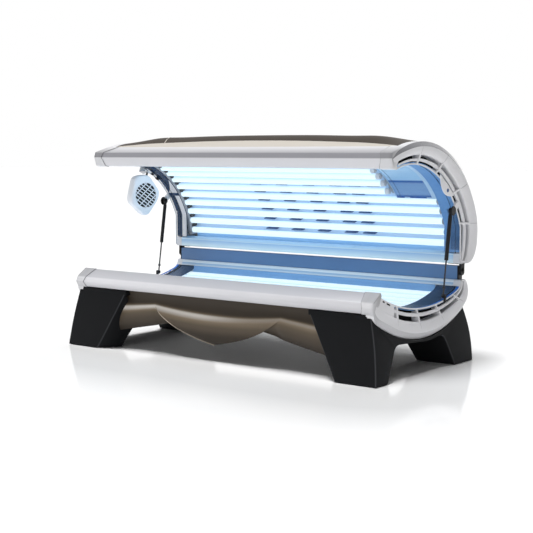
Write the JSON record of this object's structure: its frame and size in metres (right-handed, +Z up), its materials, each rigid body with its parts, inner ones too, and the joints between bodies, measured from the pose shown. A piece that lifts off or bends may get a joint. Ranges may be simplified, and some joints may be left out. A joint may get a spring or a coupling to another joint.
{
  "type": "clamshell tanning bed",
  "caption": "Clamshell tanning bed: a curved acrylic bench on two black leg frames under a hinged lamp canopy held open by gas struts, with louvred end caps and a body fan.",
  "frame": {"origin": "on the floor under the middle of the bounding box", "axes": "+X along the bed towards the facial lamp end, +Y towards the hinge side at the rear, +Z up"},
  "size_m": [2.1786, 1.1082, 1.2425],
  "materials": {
    "cap_grey": "satin light grey",
    "rail_silver": "silver satin",
    "leg_black": "matte black",
    "bronze": "metallic bronze",
    "shell_brown": "dark brown satin",
    "champagne": "champagne satin",
    "acrylic": "clear acrylic",
    "reflector": "bright reflector sheet",
    "lamp": "lit fluorescent tube",
    "lamp_holder": "white-grey",
    "end_panel": "dark blue",
    "beam": "dark blue-grey",
    "face_filter": "blue filter glass",
    "sheet_steel": "galvanised",
    "rod_steel": "polished",
    "black_metal": "satin black",
    "fan_black": "black",
    "pod_white": "pale blue-white",
    "button_blue": "dark blue",
    "rubber": "black rubber"
  },
  "bodies": {
    "base": {"right_bench_end_cap": "cap_grey", "left_bench_end_cap": "cap_grey", "bench_front_rail": "rail_silver", "bench_rear_rail": "rail_silver", "bench_tub": "sheet_steel", "right_leg_frame": "leg_black", "left_leg_frame": "leg_black", "right_front_foot_pad": "rubber", "left_front_foot_pad": "rubber", "right_rear_foot_pad": "rubber", "left_rear_foot_pad": "rubber", "front_skirt": "bronze", "bench_acrylic": "acrylic", "bench_reflector": "reflector", "bench_lamp_bank": "lamp", "right_bench_end_panel": "end_panel", "left_bench_end_panel": "end_panel", "bench_ballast_bank": "sheet_steel", "cooling_fan_frame": "fan_black", "hinge_beam": "beam", "right_hinge_stub": "black_metal", "left_hinge_stub": "black_metal", "right_strut_stud": "black_metal", "left_strut_stud": "black_metal"},
    "canopy": {"right_hinge_arm": "black_metal", "left_hinge_arm": "black_metal", "right_strut_bracket": "black_metal", "left_strut_bracket": "black_metal", "right_canopy_end_cap": "cap_grey", "left_canopy_end_cap": "cap_grey", "canopy_front_rail": "rail_silver", "canopy_rear_rail": "rail_silver", "canopy_trim_strip": "champagne", "canopy_top_shell": "shell_brown", "canopy_acrylic": "acrylic", "canopy_reflector": "reflector", "canopy_lamp_1": "lamp", "canopy_lamp_2": "lamp", "canopy_lamp_3": "lamp", "canopy_lamp_4": "lamp", "canopy_lamp_5": "lamp", "right_canopy_lamp_holder": "lamp_holder", "left_canopy_lamp_holder": "lamp_holder", "canopy_short_lamp_bank": "lamp", "right_canopy_end_panel": "end_panel", "left_canopy_end_panel": "end_panel", "face_lamp_tray": "sheet_steel", "face_filter_glass": "face_filter", "control_panel": "cap_grey", "body_fan_bracket": "black_metal"},
    "right_strut_rod": {"right_strut_rod": "rod_steel"},
    "left_strut_rod": {"left_strut_rod": "rod_steel"},
    "right_strut_cylinder": {"right_strut_cylinder": "black_metal"},
    "left_strut_cylinder": {"left_strut_cylinder": "black_metal"},
    "cooling_fan_rotor": {"cooling_fan_rotor": "fan_black"},
    "body_fan": {"body_fan_housing": "pod_white", "body_fan_grille": "pod_white"},
    "body_fan_rotor": {"body_fan_rotor": "fan_black"},
    "control_button": {"control_button": "button_blue"}
  },
  "joints": [
    {"name": "canopy_hinge", "type": "hinge", "parent": "base", "child": "canopy", "pos_m": [0, 0.40525, 0.49511], "axis": [1, 0, 0], "range_deg": [0, 33]},
    {"name": "right_strut_swing", "type": "hinge", "parent": "base", "child": "right_strut_rod", "pos_m": [1.04, 0.18825, 0.37997], "axis": [1, 0, 0], "range_deg": [0, 24.3]},
    {"name": "right_strut_slide", "type": "slide", "parent": "right_strut_rod", "child": "right_strut_cylinder", "axis": [0, 0.1499, 0.9887], "range_m": [-0.1257, 0]},
    {"name": "left_strut_swing", "type": "hinge", "parent": "base", "child": "left_strut_rod", "pos_m": [-1.04, 0.18825, 0.37997], "axis": [1, 0, 0], "range_deg": [0, 24.3]},
    {"name": "left_strut_slide", "type": "slide", "parent": "left_strut_rod", "child": "left_strut_cylinder", "axis": [0, 0.1499, 0.9887], "range_m": [-0.1257, 0]},
    {"name": "cooling_fan_spin", "type": "hinge", "parent": "base", "child": "cooling_fan_rotor", "pos_m": [-0.6, -0.00675, 0.236], "axis": [0, 0, 1], "continuous": true},
    {"name": "body_fan_swivel", "type": "hinge", "parent": "canopy", "child": "body_fan", "pos_m": [-1.0025, -0.00662, 0.88164], "axis": [0, 0.3827, 0.9239], "range_deg": [-15, 15]},
    {"name": "body_fan_spin", "type": "hinge", "parent": "body_fan", "child": "body_fan_rotor", "pos_m": [-0.96, -0.00662, 0.88164], "axis": [0.9781, -0.2079, 0], "continuous": true},
    {"name": "control_button_press", "type": "slide", "parent": "canopy", "child": "control_button", "axis": [-1, 0, 0], "range_m": [0, 0.003], "stiffness_N_per_m": 600}
  ],
  "couplings": [
    {"joint": "right_strut_swing", "follows": "canopy_hinge", "ratio": 0.7335},
    {"joint": "right_strut_slide", "follows": "canopy_hinge", "m_per_rad": -0.21799},
    {"joint": "left_strut_swing", "follows": "canopy_hinge", "ratio": 0.7335},
    {"joint": "left_strut_slide", "follows": "canopy_hinge", "m_per_rad": -0.21799}
  ]
}
